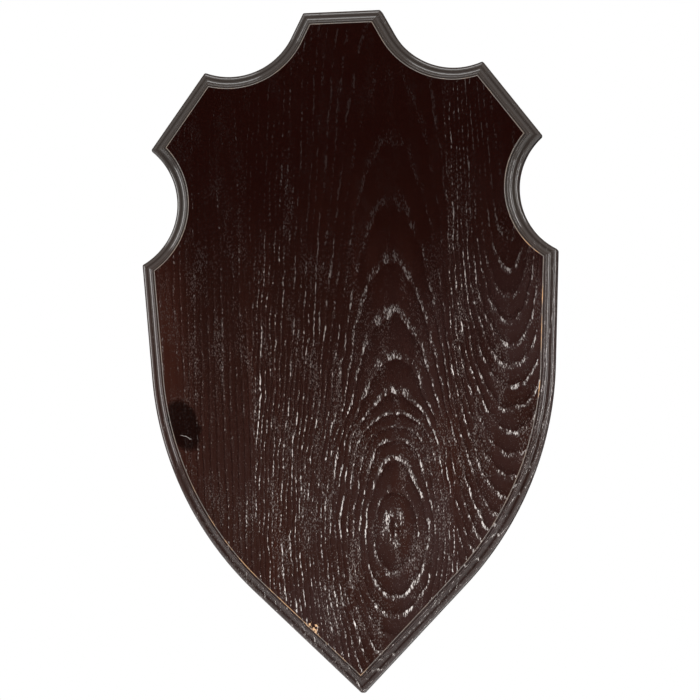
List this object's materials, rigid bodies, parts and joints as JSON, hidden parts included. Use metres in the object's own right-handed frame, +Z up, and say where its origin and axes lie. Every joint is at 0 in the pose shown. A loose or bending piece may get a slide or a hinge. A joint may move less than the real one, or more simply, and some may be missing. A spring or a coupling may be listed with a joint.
{
  "type": "wooden shield plaque",
  "caption": "Shield-shaped hardwood mounting plaque with scalloped outline and routed moulded edge, with a swinging D-ring hanger and rubber bumpers on its back.",
  "frame": {"origin": "on the flat back face, on the plane of symmetry, half way between the top edge and the lower tip", "axes": "+Z up along the plaque, +Y out of the back towards the wall, -Y out of the moulded front, +X to the right as the front is seen"},
  "size_m": [0.2748, 0.026, 0.4492],
  "materials": {
    "stained_oak": "dark wenge-brown stain under gloss lacquer, open pores",
    "plated_steel": "zinc plated, slightly dulled",
    "screw_steel": "yellow passivated zinc",
    "bumper_rubber": "matt black rubber"
  },
  "bodies": {
    "plaque": {"stave_left": "stained_oak", "stave_centre": "stained_oak", "stave_right": "stained_oak", "hanger_strap": "plated_steel", "hanger_screw_upper": "screw_steel", "hanger_screw_lower": "screw_steel", "wall_bumper_left": "bumper_rubber", "wall_bumper_right": "bumper_rubber"},
    "ring": {"hanger_ring": "plated_steel"}
  },
  "joints": [
    {"name": "ring_swing", "type": "hinge", "parent": "plaque", "child": "ring", "pos_m": [0, 0.003, 0.185], "axis": [1, 0, 0], "range_deg": [0, 180]}
  ]
}
